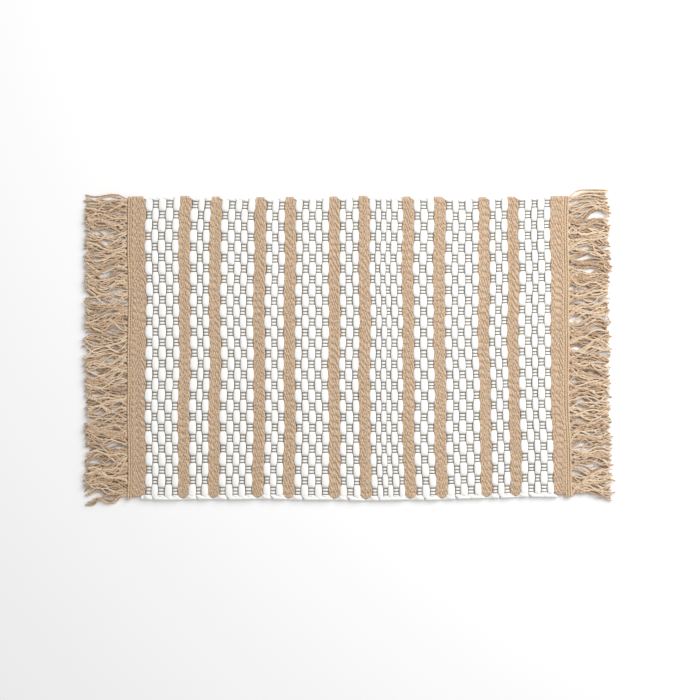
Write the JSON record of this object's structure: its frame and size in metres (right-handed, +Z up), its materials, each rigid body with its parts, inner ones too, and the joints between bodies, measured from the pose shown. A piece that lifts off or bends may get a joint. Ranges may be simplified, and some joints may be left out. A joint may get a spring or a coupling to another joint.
{
  "type": "bath mat",
  "caption": "Flat rectangular handwoven cotton bath mat: thick white cords in plain weave, parted by narrow dense tan bands, with hem bands and loose tan fringe at both short ends.",
  "frame": {"origin": "centre of the mat's underside, on the floor it lies on", "axes": "+X along the mat's length, towards one fringe; +Y across the mat, along the bands; +Z up out of the floor, through the thickness"},
  "size_m": [0.8694, 0.5, 0.0104],
  "materials": {
    "white_cord": "soft matt thick cotton cord, warm white",
    "tan_yarn": "matt two-ply cotton yarn, dense weave, tan",
    "header_cord": "matt twisted cotton cord, tan",
    "fringe_yarn": "matt crinkled two-ply cotton yarn, tan",
    "warp_thread": "matt thin cotton thread, taupe"
  },
  "bodies": {
    "root": {"fringe_left": "fringe_yarn", "fringe_right": "fringe_yarn", "header_cords_left": "header_cord", "header_cords_right": "header_cord", "hem_band_left": "tan_yarn", "hem_band_right": "tan_yarn", "tan_band_01": "tan_yarn", "tan_band_02": "tan_yarn", "tan_band_03": "tan_yarn", "tan_band_04": "tan_yarn", "tan_band_05": "tan_yarn", "tan_band_06": "tan_yarn", "tan_band_07": "tan_yarn", "tan_band_08": "tan_yarn", "tan_band_09": "tan_yarn", "tan_band_10": "tan_yarn", "warp_group_01": "warp_thread", "warp_group_02": "warp_thread", "warp_group_03": "warp_thread", "warp_group_04": "warp_thread", "warp_group_05": "warp_thread", "warp_group_06": "warp_thread", "warp_group_07": "warp_thread", "warp_group_08": "warp_thread", "warp_group_09": "warp_thread", "warp_group_10": "warp_thread", "warp_group_11": "warp_thread", "warp_group_12": "warp_thread", "warp_group_13": "warp_thread", "warp_group_14": "warp_thread", "warp_group_15": "warp_thread", "warp_group_16": "warp_thread", "warp_group_17": "warp_thread", "warp_group_18": "warp_thread", "warp_group_19": "warp_thread", "warp_group_20": "warp_thread", "warp_group_21": "warp_thread", "warp_group_22": "warp_thread", "warp_group_23": "warp_thread", "warp_group_24": "warp_thread", "warp_group_25": "warp_thread", "warp_group_26": "warp_thread", "warp_group_27": "warp_thread", "warp_group_28": "warp_thread", "white_cord_01": "white_cord", "white_cord_02": "white_cord", "white_cord_03": "white_cord", "white_cord_04": "white_cord", "white_cord_05": "white_cord", "white_cord_06": "white_cord", "white_cord_07": "white_cord", "white_cord_08": "white_cord", "white_cord_09": "white_cord", "white_cord_10": "white_cord", "white_cord_11": "white_cord"}
  },
  "joints": []
}
